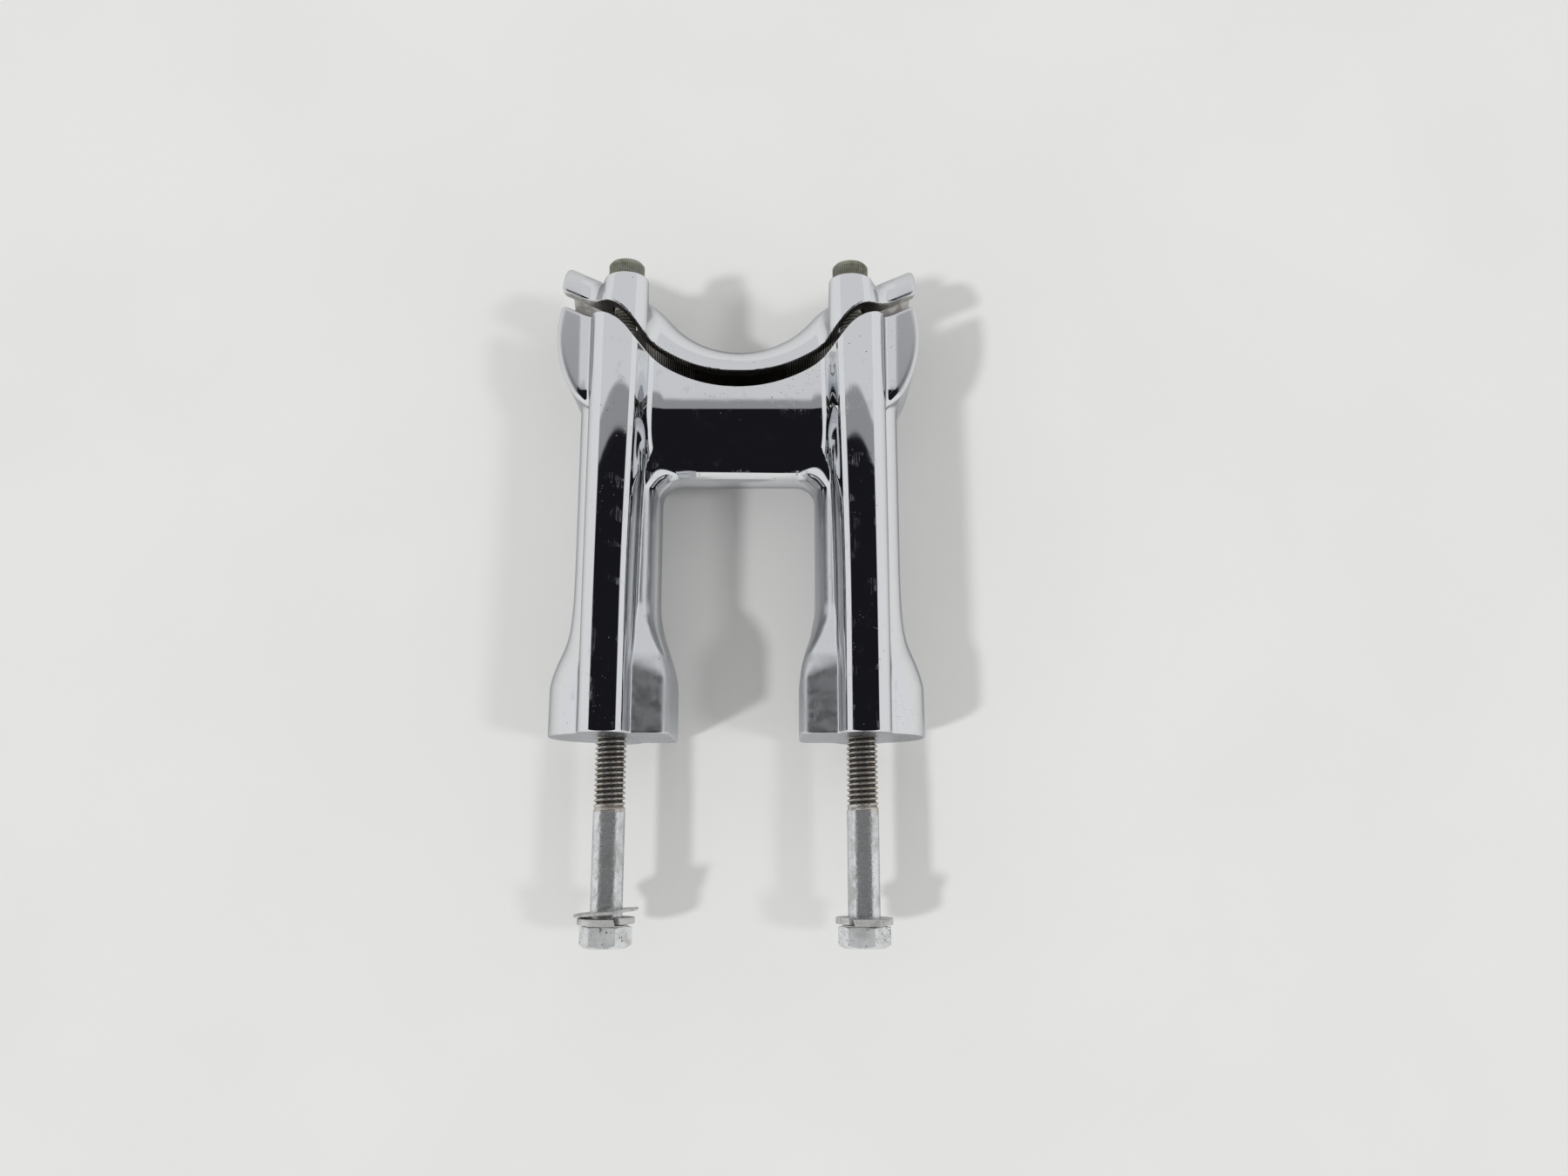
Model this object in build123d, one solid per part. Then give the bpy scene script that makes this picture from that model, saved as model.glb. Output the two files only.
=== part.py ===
from build123d import *
import os
from math import cos, radians, sin, sqrt, tan

# Two-leg handlebar riser with a one-piece clamp cap, lying on its back.
#
# X runs across the legs, Y from the feet to the clamp, Z up, away from what the riser lies on.
# The finished part's origin is under its middle, on the surface it lies on. The functions here work
# from the point midway between the riser bolts on the plane of the feet, and the last step moves
# the pieces. Sizes are millimetres.

# Handlebar channel: a dropped middle bend, a bend back on each side, and two straight arms
BOLT_SPACING = 88.9  # between the riser bolts, and so between the legs
BAR_R = 12.7  # the bar that the clamp holds, 25.4 across
BEND_Y = 125.9  # the bar's centreline where the channel is lowest
BEND_R = 51.0
BEND_ANGLE = 50.0  # slope of the channel where the bends meet
BACK_R = 22.0  # radius of the bend back
ARM_ANGLE = 24.0
ARM_OUT = 20.35  # from the bolt's axis to the end of the body's arm
CAP_OVERHANG = 0.8  # how far the cap's arms reach past the body's
CHANNEL_WALL = 4.7  # round the bar
MIDDLE_GAP = 4.7  # between body and cap at the middle of the channel, with a bar clamped
END_GAP = 3.6  # and at the ends of the arms
CAP_RAISED = 1.4  # the cap is loose: it sits this much higher than on a bar
CAP_TILT = 0.5  # and its left end is the higher

# Legs
LEG_INNER = 16.3  # from the bolt's axis to the leg's inner side
LEG_OUTER = 13.9
LEG_HALF_DEPTH = 14.0
LEG_CORNER = 5.0
LEG_INNER_CORNER = 11.5  # the legs are rounder towards each other
CREST_OUT = 9.8  # from the cap screws' axes out to the ridges and bosses
RIDGE_FOOT_R = 9.0  # the half-round ridge down the front and back of each leg
RIDGE_TOP_R = 10.2
RIDGE_SHIFT = 1.2  # the ridge leans inwards by this at the top
LOBE_OUT = 22.3  # from the bolt's axis to the widest point below the arm's end
LOBE_TOP_RISE = 21.1  # above the channel's lowest centreline
LOBE_FOOT_DROP = 4.9  # and below it
LOBE_HALF_DEPTH = 15.0
LOBE_ROUND = 6.0

# Feet
FOOT_R = 22.4
FOOT_HEIGHT = 22.0
FLARE_HEIGHT = 24.0
FLARE_TOP_R = 13.5
FOOT_BEVEL = 0.8
PAD_OUT = 22.1  # the foot's squarer inner half, from the bolt's axis to its inner side
PAD_HALF_DEPTH = 20.6
PAD_HEIGHT = 19.0  # from the foot's face to where the pad narrows into the leg
PAD_CORNER = 4.5
PAD_SUNK = 0.1  # the pad ends this far inside the leg's sides
SEAT_GROOVE_R = 11.0
SEAT_GROOVE_WIDTH = 1.2
SEAT_GROOVE_DEPTH = 0.6

# Web between the legs
WEB_PROUD = 0.2  # of the channel's wall
WEB_DROP = 32.9  # from the channel's lowest centreline to the lower edge
WEB_NOSE = 24.5  # the rounded lower edge's height
WINDOW_CORNER = 7.0  # rounding of the window under the web
CORNER_HALF_DEPTH = 5.0

# Riser bolts, 7/16 in with a hex head
BOLT_R = 5.556
BOLT_LENGTH = 69.85
BOLT_ENGAGED = 6.1  # how far each bolt is screwed into its foot
BOLT_HEX = 15.875
BOLT_HEAD = 7.5
HEX_CROWN = 0.8
BOLT_HOLE_DEPTH = 34.0
LEFT_HEX_TURN = 1.0
RIGHT_HEX_TURN = 10.5

# Washers under the riser bolts' heads
LOCK_OUTER_R = 9.85
LOCK_THICK = 2.77
LOCK_SLOT = 1.6
LOCK_SLOT_TILT = 25.0
LOCK_SLOT_ANGLE = 60.0
FLAT_OUTER_R = 11.1
FLAT_THICK = 1.0
FLAT_TILT = 6.0  # the thin washer hangs askew on the bolt
WASHER_PLAY = 0.35

# Cap screws, M8 with a socket head
SCREW_INSET = 3.25  # inwards of the bolt's axis
SCREW_CLEAR = 1.8  # wall between screw and bar
SCREW_R = 4.0
SCREW_LENGTH = 40.0
SCREW_HEAD_R = 6.5
SCREW_HEAD = 8.0
SCREW_SOCKET = 6.0  # across the flats of the hex socket
SCREW_SOCKET_DEPTH = 4.0
SCREW_HOLE_PLAY = 0.5  # radial, where the screw passes through the cap
HEAD_PLAY = 0.4  # radial, round the head in its counterbore
COUNTERBORE = 2.0
SCREW_HOLE_SPARE = 8.0  # tapped depth past the screw's tip

# Cap bosses
BOSS_RISE = 39.1  # above the channel's lowest centreline
BOSS_TOP_R = 8.0
BOSS_FOOT_R = 9.7
BOSS_FOOT_INSET = 2.05  # inwards of the bolt's axis

THREAD_PLAY = 0.06  # radial, between a thread and its tapped hole
EDGE = 0.6  # small chamfers

BEND_END_X = BEND_R * sin(radians(BEND_ANGLE))
BEND_END_Y = BEND_Y + BEND_R * (1 - cos(radians(BEND_ANGLE)))
ARM_START_X = BEND_END_X + BACK_R * (sin(radians(BEND_ANGLE)) - sin(radians(ARM_ANGLE)))
ARM_START_Y = BEND_END_Y + BACK_R * (cos(radians(ARM_ANGLE)) - cos(radians(BEND_ANGLE)))
LEG_X = BOLT_SPACING / 2
CHANNEL_HALF = LEG_X + ARM_OUT
CAP_HALF = CHANNEL_HALF + CAP_OVERHANG
ARM_LENGTH = (CHANNEL_HALF - ARM_START_X) / cos(radians(ARM_ANGLE))
SHELL_R = BAR_R + CHANNEL_WALL
SCREW_X = LEG_X - SCREW_INSET
SCREW_Z = BAR_R + SCREW_CLEAR + SCREW_R
CREST = SCREW_Z + CREST_OUT
LOBE_TOP_Y = BEND_Y + LOBE_TOP_RISE
LOBE_FOOT_Y = BEND_Y - LOBE_FOOT_DROP
WEB_HALF_DEPTH = SHELL_R + WEB_PROUD
WEB_BOTTOM_Y = BEND_Y - WEB_DROP
BOSS_TOP_Y = BEND_Y + BOSS_RISE
BOSS_FOOT_X = LEG_X - BOSS_FOOT_INSET
FAR = 4 * SHELL_R  # well clear of the part
SIDES = (-1, 1)


def centreline_y(x):
    """Height of the bar's centreline at a distance from the middle."""
    x = abs(x)
    if x > ARM_START_X:
        return ARM_START_Y + (x - ARM_START_X) * tan(radians(ARM_ANGLE))
    if x > BEND_END_X:
        from_centre = BEND_END_X + BACK_R * sin(radians(BEND_ANGLE)) - x
        return BEND_END_Y + sqrt(BACK_R**2 - from_centre**2) - BACK_R * cos(radians(BEND_ANGLE))
    return BEND_Y + BEND_R - sqrt(BEND_R**2 - x**2)


def along_y(sketch, x, y, z):
    """Put a sketch in a plane across the legs, so that extruding it goes towards the clamp."""
    return Plane(origin=(x, y, z), x_dir=(-1, 0, 0), z_dir=(0, 1, 0)) * sketch


def rod(radius, x, y_low, y_high, z):
    """A round rod along Y."""
    return extrude(along_y(Circle(radius), x, y_low, z), y_high - y_low)


def across_channel(side, x, y, angle):
    """Plane square to the channel at a point, facing outwards."""
    rise, run = sin(radians(angle)), cos(radians(angle))
    return Plane(origin=(side * x, y, 0), x_dir=(-side * rise, run, 0), z_dir=(side * run, rise, 0))


def channel(radius):
    """Round bar that follows the channel: the middle bend, the bends back and both arms."""
    bend_start = across_channel(-1, BEND_END_X, BEND_END_Y, BEND_ANGLE)
    bend_axis = Axis((0, BEND_Y + BEND_R, 0), (0, 0, 1))
    bar = revolve(bend_start * Circle(radius), bend_axis, 2 * BEND_ANGLE)
    for side in SIDES:
        back_start = across_channel(side, BEND_END_X, BEND_END_Y, BEND_ANGLE)
        back_x = side * (BEND_END_X + BACK_R * sin(radians(BEND_ANGLE)))
        back_axis = Axis((back_x, BEND_END_Y - BACK_R * cos(radians(BEND_ANGLE)), 0), (0, 0, 1))
        bar += revolve(back_start * Circle(radius), back_axis, side * (ARM_ANGLE - BEND_ANGLE))
        arm = across_channel(side, ARM_START_X, ARM_START_Y, ARM_ANGLE)
        bar += extrude(arm * Circle(radius), ARM_LENGTH + FAR)
    return bar


def split_edge(lift, end_lift):
    """Where body and cap part, as seen from the front: the channel's centreline, raised a little."""
    bend_lift = lift + (end_lift - lift) * ARM_START_X / CHANNEL_HALF
    reach = CHANNEL_HALF + FAR
    bend_end = (BEND_END_X, BEND_END_Y + bend_lift)
    arm_start = (ARM_START_X, ARM_START_Y + bend_lift)
    back_x = (BEND_END_X + ARM_START_X) / 2
    right = TangentArc((0, BEND_Y + lift), bend_end, tangent=(1, 0))
    right += ThreePointArc(bend_end, (back_x, centreline_y(back_x) + bend_lift), arm_start)
    right += Line(arm_start, (reach, centreline_y(reach) + end_lift))
    return right + mirror(right, Plane.YZ), (reach, centreline_y(reach) + end_lift)


def above(lift, end_lift):
    """Everything over the line where body and cap part."""
    edge, (reach, end_y) = split_edge(lift, end_lift)
    top_y = end_y + FAR
    edge += Polyline((reach, end_y), (reach, top_y), (-reach, top_y), (-reach, end_y))
    return extrude(make_face(edge), FAR, both=True)


def foot(side):
    """Round foot that flares out of the leg, with a bevelled rim."""
    flare_top = FOOT_HEIGHT + FLARE_HEIGHT
    profile = Polyline(
        (0, 0), (FOOT_R - FOOT_BEVEL, 0), (FOOT_R, FOOT_BEVEL), (FOOT_R, FOOT_HEIGHT)
    )
    profile += Bezier(
        (FOOT_R, FOOT_HEIGHT),
        (FOOT_R - 1, FOOT_HEIGHT + FLARE_HEIGHT / 3),
        (FLARE_TOP_R, flare_top - FLARE_HEIGHT / 2),
        (FLARE_TOP_R, flare_top),
    )
    profile += Polyline((FLARE_TOP_R, flare_top), (0, flare_top), (0, 0))
    return Pos(side * LEG_X, 0, 0) * revolve(make_face(profile), Axis.Y)


def pad_section(side, y, out, half_depth, corner):
    """Section of a foot's pad, from the bolt's axis inwards."""
    sketch = RectangleRounded(out, 2 * half_depth, corner)
    return along_y(sketch, side * (LEG_X - out / 2), y, 0)


def foot_pad(side):
    """Squarer inner half of a foot, narrowing into the leg above it."""
    shoulder = pad_section(side, PAD_HEIGHT, PAD_OUT, PAD_HALF_DEPTH, PAD_CORNER)
    pad = extrude(pad_section(side, 0, PAD_OUT, PAD_HALF_DEPTH, PAD_CORNER), PAD_HEIGHT)
    pad = chamfer(pad.edges().group_by(Axis.Y)[0], FOOT_BEVEL)
    top = FOOT_HEIGHT + FLARE_HEIGHT
    out, half_depth = LEG_INNER - PAD_SUNK, LEG_HALF_DEPTH - PAD_SUNK
    neck = pad_section(side, top, out, half_depth, min(out, half_depth * 2) / 2 - EDGE)
    return pad + loft([shoulder, neck])


def leg(side):
    """Leg column with its front and back ridges, up past the channel."""
    top = BEND_Y + SHELL_R * 2
    width = LEG_INNER + LEG_OUTER
    middle = side * (LEG_X + (LEG_OUTER - LEG_INNER) / 2)
    outer_end, inner_end = (0, -1) if side > 0 else (-1, 0)
    section = Rectangle(width, 2 * LEG_HALF_DEPTH)
    section = fillet(section.vertices().group_by(Axis.X)[outer_end], LEG_CORNER)
    section = fillet(section.vertices().group_by(Axis.X)[inner_end], LEG_INNER_CORNER)
    column = extrude(along_y(section, middle, 0, 0), top)
    for face in SIDES:
        low = along_y(Circle(RIDGE_FOOT_R), side * LEG_X, 0, face * (CREST - RIDGE_FOOT_R))
        high_x, high_z = side * (LEG_X - RIDGE_SHIFT), face * (CREST - RIDGE_TOP_R)
        high = along_y(Circle(RIDGE_TOP_R), high_x, top, high_z)
        column += loft([low, high])
    return column


def lobe_outline():
    """Side view of the wall between the right arm's end and the leg, up past the split."""
    shoulder = (CHANNEL_HALF, centreline_y(CHANNEL_HALF) + END_GAP / 2)
    waist = (LEG_X + LEG_OUTER, LOBE_FOOT_Y)
    inner = LEG_X - LEG_CORNER
    top = centreline_y(CHANNEL_HALF) + SHELL_R
    outline = Polyline(waist, (inner, LOBE_FOOT_Y), (inner, top), (CHANNEL_HALF, top), shoulder)
    outline += ThreePointArc(shoulder, (LEG_X + LOBE_OUT, LOBE_TOP_Y), waist)
    return make_face(outline)


def lobe(side):
    """Side wall that carries the arm's end down onto the leg, with its outer edges rounded."""
    wall = extrude(lobe_outline(), LOBE_HALF_DEPTH, both=True)
    rims = [e for face in (Axis.Z, -Axis.Z) for e in wall.faces().sort_by(face)[-1].edges()]
    wall = fillet([e for e in rims if e.center().X > LEG_X + EDGE], LOBE_ROUND)
    return wall if side > 0 else mirror(wall, Plane.YZ)


def web():
    """Thick web that joins the legs under the channel, with a rounded lower edge."""
    half = LEG_X - EDGE
    shoulder = WEB_BOTTOM_Y + WEB_NOSE
    section = Plane(origin=(-half, 0, 0), x_dir=(0, 1, 0), z_dir=(1, 0, 0)) * (
        Pos(shoulder, 0) * Ellipse(WEB_NOSE, WEB_HALF_DEPTH)
    )
    slab = extrude(section, 2 * half)
    slab += Pos(0, (shoulder + BEND_Y) / 2, 0) * Box(
        2 * half, BEND_Y - shoulder, 2 * WEB_HALF_DEPTH
    )
    return slab


def window_corner(side):
    """Hollow fillet between the web's lower edge and a leg."""
    reach = WINDOW_CORNER + LEG_CORNER
    inner = LEG_X - LEG_INNER
    block = Box(reach, reach, 2 * CORNER_HALF_DEPTH)
    x, y = side * (inner - WINDOW_CORNER), WEB_BOTTOM_Y - WINDOW_CORNER
    bite = Pos(x, y, 0) * Cylinder(WINDOW_CORNER, 3 * CORNER_HALF_DEPTH)
    return Pos(x + side * reach / 2, y + reach / 2, 0) * block - bite


def body_outline():
    """Limits of the casting beside the legs, which trim the lower half of the clamp's shell."""
    middle = Box(2 * LEG_X, 4 * FAR, 2 * FAR)
    right = extrude(lobe_outline(), FAR, both=True)
    return middle + right + mirror(right, Plane.YZ)


def riser_body():
    """The casting: feet, legs, web and the lower half of the clamp."""
    body = channel(SHELL_R) & body_outline()
    body += web()
    for side in SIDES:
        body += leg(side) + foot(side) + foot_pad(side) + lobe(side) + window_corner(side)
    body -= above(0, 0)
    body -= channel(BAR_R)
    for side in SIDES:
        x = side * LEG_X
        body -= rod(BOLT_R + THREAD_PLAY, x, -1, BOLT_HOLE_DEPTH, 0)
        body -= rod(SEAT_GROOVE_R, x, -1, SEAT_GROOVE_DEPTH, 0) - rod(
            SEAT_GROOVE_R - SEAT_GROOVE_WIDTH, x, -1, SEAT_GROOVE_DEPTH, 0
        )
        for face in SIDES:
            floor = screw_seat_y() - SCREW_LENGTH - SCREW_HOLE_SPARE
            body -= rod(SCREW_R + THREAD_PLAY, side * SCREW_X, floor, BOSS_TOP_Y, face * SCREW_Z)
    return body


def screw_seat_y():
    """Height of the counterbores' floors with a bar clamped."""
    return BOSS_TOP_Y - COUNTERBORE


def head_rest_y(side):
    """Height of a cap screw's head, resting on the high side of the tilted counterbore."""
    tilt = radians(CAP_TILT)
    high_side = (SCREW_HEAD_R + HEAD_PLAY) * sin(tilt)
    return screw_seat_y() + CAP_RAISED - side * SCREW_X * sin(tilt) + high_side


def boss(side, face):
    """Boss round one cap screw, tapering towards its top."""
    low_y = centreline_y(SCREW_X) - SCREW_R
    low = along_y(Circle(BOSS_FOOT_R), side * BOSS_FOOT_X, low_y, face * (CREST - BOSS_FOOT_R))
    high = along_y(Circle(BOSS_TOP_R), side * SCREW_X, BOSS_TOP_Y, face * SCREW_Z)
    return loft([low, high])


def raise_cap(piece):
    """Move a piece from its place on a clamped bar to the loose, tilted cap."""
    centre_y = BOSS_TOP_Y - SHELL_R
    return Pos(0, centre_y + CAP_RAISED, 0) * Rot(0, 0, -CAP_TILT) * Pos(0, -centre_y, 0) * piece


def clamp_cap():
    """The upper half of the clamp, with four bosses for its screws."""
    cap = channel(SHELL_R) & Pos(0, BEND_Y, 0) * Box(2 * CAP_HALF, 2 * FAR, 2 * FAR)
    for side in SIDES:
        for face in SIDES:
            cap += boss(side, face)
    cap &= above(MIDDLE_GAP, END_GAP)
    cap -= channel(BAR_R)
    for side in SIDES:
        for face in SIDES:
            x, z = side * SCREW_X, face * SCREW_Z
            cap -= rod(SCREW_R + SCREW_HOLE_PLAY, x, BEND_Y, BOSS_TOP_Y, z)
            cap -= rod(SCREW_HEAD_R + HEAD_PLAY, x, screw_seat_y(), BOSS_TOP_Y + SCREW_HEAD, z)
    return raise_cap(cap)


def cap_screw(side, face):
    """Socket head cap screw, seated in the cap and screwed into the casting."""
    x, z, seat = side * SCREW_X, face * SCREW_Z, head_rest_y(side)
    shank = rod(SCREW_R, x, seat - SCREW_LENGTH, seat, z)
    shank = chamfer(shank.edges().sort_by(Axis.Y)[0], EDGE)
    head = rod(SCREW_HEAD_R, x, seat, seat + SCREW_HEAD, z)
    head = chamfer(head.edges().sort_by(Axis.Y)[-1], EDGE)
    socket = RegularPolygon(SCREW_SOCKET / 2, 6, major_radius=False)
    floor = seat + SCREW_HEAD - SCREW_SOCKET_DEPTH
    head -= extrude(along_y(socket, x, floor, z), SCREW_SOCKET_DEPTH + 1)
    return shank + head


def head_seat_y():
    """Height of the riser bolts' head faces, below the feet."""
    return BOLT_ENGAGED - BOLT_LENGTH


def riser_bolt(side):
    """Hex head bolt, started in the foot's thread."""
    x, seat = side * LEG_X, head_seat_y()
    shank = rod(BOLT_R, x, seat, BOLT_ENGAGED, 0)
    shank = chamfer(shank.edges().sort_by(Axis.Y)[-1], EDGE)
    turn = LEFT_HEX_TURN if side < 0 else RIGHT_HEX_TURN
    hexagon = RegularPolygon(BOLT_HEX / 2, 6, major_radius=False, rotation=90 + turn)
    head = extrude(along_y(hexagon, x, seat - BOLT_HEAD, 0), BOLT_HEAD)
    crown = rod(BOLT_HEX / 2 / cos(radians(30)), x, seat - BOLT_HEAD, seat, 0)
    crown = chamfer(crown.edges().sort_by(Axis.Y)[0], HEX_CROWN, HEX_CROWN * 2)
    return shank + (head & crown)


def washer(outer_r, thick, side, low_y):
    """Plain round washer on a riser bolt."""
    x = side * LEG_X
    return rod(outer_r, x, low_y, low_y + thick, 0) - rod(BOLT_R + WASHER_PLAY, x, low_y, low_y + thick, 0)


def lock_washer(side):
    """Split spring washer against the bolt's head, its slot turned to the other leg."""
    low_y = head_seat_y()
    ring = washer(LOCK_OUTER_R, LOCK_THICK, side, low_y)
    middle = (BOLT_R + LOCK_OUTER_R) / 2
    slot = Pos(middle, low_y + LOCK_THICK / 2, 0) * Rot(0, 0, LOCK_SLOT_TILT)
    slot *= Box(LOCK_OUTER_R, LOCK_THICK * 2, LOCK_SLOT)
    angle = -LOCK_SLOT_ANGLE if side < 0 else 180 + LOCK_SLOT_ANGLE
    return ring - Pos(side * LEG_X, 0, 0) * Rot(0, angle, 0) * slot


def flat_washer(side):
    """Thin washer, resting askew on the lock washer."""
    ring = washer(FLAT_OUTER_R, FLAT_THICK, side, 0)
    middle_y = head_seat_y() + LOCK_THICK + LOCK_OUTER_R * sin(radians(FLAT_TILT))
    return Pos(side * LEG_X, middle_y, 0) * Rot(0, 0, FLAT_TILT) * Pos(-side * LEG_X, 0, 0) * ring


def cap_tip_y():
    """Height of the loose cap's highest corner, at the end of its left ear."""
    clamped_y = centreline_y(CAP_HALF) + SHELL_R / cos(radians(ARM_ANGLE))
    return raise_cap(Pos(-CAP_HALF, clamped_y, 0)).position.Y


def laid_down():
    """Move from the feet's plane and the bolts' axes to the middle of what the riser lies on."""
    low_y = head_seat_y() - BOLT_HEAD
    high_y = max(cap_tip_y(), head_rest_y(-1) + SCREW_HEAD)
    return Pos(0, -(low_y + high_y) / 2, CREST)


def build():
    """All the pieces by name."""
    names = {-1: "left", 1: "right"}
    faces = {1: "front", -1: "rear"}
    pieces = {"riser_body": riser_body(), "clamp_cap": clamp_cap()}
    for side in SIDES:
        for face in SIDES:
            pieces[f"cap_screw_{faces[face]}_{names[side]}"] = cap_screw(side, face)
        pieces[f"riser_bolt_{names[side]}"] = riser_bolt(side)
        pieces[f"lock_washer_{names[side]}"] = lock_washer(side)
    pieces["flat_washer_left"] = flat_washer(-1)
    return pieces


os.makedirs("parts", exist_ok=True)
for name, piece in build().items():
    piece = laid_down() * piece
    piece.label = name
    export_step(piece, f"parts/{name}.step")
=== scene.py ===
import math
import bpy
import numpy as np
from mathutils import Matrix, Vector


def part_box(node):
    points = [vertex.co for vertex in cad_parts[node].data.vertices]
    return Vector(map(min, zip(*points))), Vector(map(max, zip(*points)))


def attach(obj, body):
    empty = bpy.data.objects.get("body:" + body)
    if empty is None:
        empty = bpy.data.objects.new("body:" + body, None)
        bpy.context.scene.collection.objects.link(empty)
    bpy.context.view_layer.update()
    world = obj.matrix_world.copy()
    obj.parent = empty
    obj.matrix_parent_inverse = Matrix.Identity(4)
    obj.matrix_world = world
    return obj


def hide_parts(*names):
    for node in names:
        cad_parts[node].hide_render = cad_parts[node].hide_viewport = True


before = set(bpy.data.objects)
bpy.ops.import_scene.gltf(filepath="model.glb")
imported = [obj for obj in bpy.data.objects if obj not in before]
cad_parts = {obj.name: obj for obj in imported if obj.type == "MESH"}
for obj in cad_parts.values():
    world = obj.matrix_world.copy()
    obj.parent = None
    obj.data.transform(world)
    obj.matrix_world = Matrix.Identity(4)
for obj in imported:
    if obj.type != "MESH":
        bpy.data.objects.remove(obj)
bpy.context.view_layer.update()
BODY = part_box("riser_body")
DY = BODY[0][1] * 1000.0  # the feet's plane, in the row's millimetres
CREST = BODY[1][2] * 500.0  # height of the bolts' axes, and so from them out to the ridges
STEP = 0.5  # of the grids that the castings are meshed on

# ---------------------------------------------------------------- sizes, mm
LEG_X = 44.45  # from the middle to each bolt's axis
LEG_IN, LEG_HALF_WIDTH, LEG_HALF_DEPTH = 1.2, 15.1, 14.0  # the leg's middle is this far inwards of the bolt
LEG_INNER_CORNER, LEG_OUTER_CORNER = 11.5, 11.0
RIDGE_R, RIDGE_GROWTH = 9.0, 1.2  # the ridge is wider at the top, and leans inwards as much
PAD_OUT, PAD_HALF_DEPTH, PAD_CORNER = 22.1, 20.6, 4.5  # the squarer inner half of a foot
PAD_HEIGHT, PAD_END, PAD_SLANT = 18.0, 46.0, 5.0
LOBE_WIDE, LOBE_WIDE_Y, LOBE_FOOT, LOBE_FOOT_Y, LOBE_Z = 22.3, 147.0, 13.9, 121.0, 17.45
BAR_R, SHELL_R = 12.7, 17.4
BEND_Y, BEND_R, BEND_A = 125.9, 51.0, math.radians(50)  # the channel's bend, lowest at the middle
BACK_R, ARM_A = 22.0, math.radians(24)  # the bend back to each arm
ARM_END, CAP_END = 64.8, 65.6
MIDDLE_GAP, END_GAP = 4.7, 3.6  # between the body and the cap with a bar clamped
CAP_RAISED, CAP_TILT = 1.4, math.radians(0.5)  # the cap is loose
SCREW_X, SCREW_Z, SCREW_R, SCREW_PITCH = 41.2, 18.5, 4.0, 1.25
HEAD_R, HEAD_H, KEY, KNURLS = 6.5, 8.0, 6.0, 62
BOSS_TOP, BOSS_TOP_R, BOSS_FOOT_R, BOSS_FOOT_X = 165.0, 8.0, 9.7, 42.4
SEAT = BOSS_TOP - 2.0
SCREW_HOLE_DEPTH, BOLT_HOLE_DEPTH = 48.0, 34.0
WEB_Z, WEB_Y, WEB_NOSE, WEB_CURVE, WEB_FILLET = 17.6, 93.0, 24.5, 0.0006, 7.0
BOLT_R, BOLT_LEN, BOLT_IN, BOLT_THREAD, BOLT_PITCH = 5.556, 69.85, 6.1, 28.6, 25.4 / 14
HEX, HEX_H = 15.875, 7.5
LOCK_R, LOCK_T, LOCK_RISE, LOCK_SLOT = 9.85, 2.77, 0.55, 1.6
FLAT_R, FLAT_T, FLAT_TILT = 11.1, 1.0, math.radians(6)
WASHER_PLAY = 0.4  # radial, between a washer and the bolt
MARK = 0.06  # a point this near a cut face belongs to it
FAR = 1e3

BEND_EX, BEND_EY = BEND_R * math.sin(BEND_A), BEND_Y + BEND_R * (1 - math.cos(BEND_A))
BACK_CX, BACK_CY = BEND_EX + BACK_R * math.sin(BEND_A), BEND_EY - BACK_R * math.cos(BEND_A)
ARM_X = BEND_EX + BACK_R * (math.sin(BEND_A) - math.sin(ARM_A))
ARM_Y = BEND_EY + BACK_R * (math.cos(ARM_A) - math.cos(BEND_A))


def to_row(p):
    """Working millimetres (from between the bolts on the feet's plane) to metres in the row frame."""
    return (np.asarray(p, float) + [0.0, DY, CREST]) / 1000.0


# ---------------------------------------------------------------- distance functions
def fuse(a, b, r):
    """Union of two shapes, with a fillet of radius r where they meet."""
    u = np.maximum(r - a, 0)
    v = np.maximum(r - b, 0)
    return np.maximum(r, np.minimum(a, b)) - np.sqrt(u * u + v * v)


def common(a, b, r):
    """Intersection of two shapes, with edges rounded by r."""
    return -fuse(-a, -b, r)


def ramp(t, a, b):
    """0 at a and 1 at b, with a smooth start and end."""
    t = np.clip((t - a) / (b - a), 0, 1)
    return t * t * (3 - 2 * t)


def path_y(ax):
    """Height of the channel's centreline, and the cosine of its slope."""
    mid = BEND_Y + BEND_R - np.sqrt(np.maximum(BEND_R**2 - ax * ax, 1))
    f = BACK_CX - ax
    back = BACK_CY + np.sqrt(np.maximum(BACK_R**2 - f * f, 1))
    arm = ARM_Y + (ax - ARM_X) * math.tan(ARM_A)
    y = np.where(ax < BEND_EX, mid, np.where(ax < ARM_X, back, arm))
    cos_mid = np.sqrt(np.maximum(1 - (ax / BEND_R) ** 2, 0.01))
    cos_back = np.sqrt(np.maximum(1 - (f / BACK_R) ** 2, 0.01))
    cos = np.where(ax < BEND_EX, cos_mid, np.where(ax < ARM_X, cos_back, math.cos(ARM_A)))
    return y, cos


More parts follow.
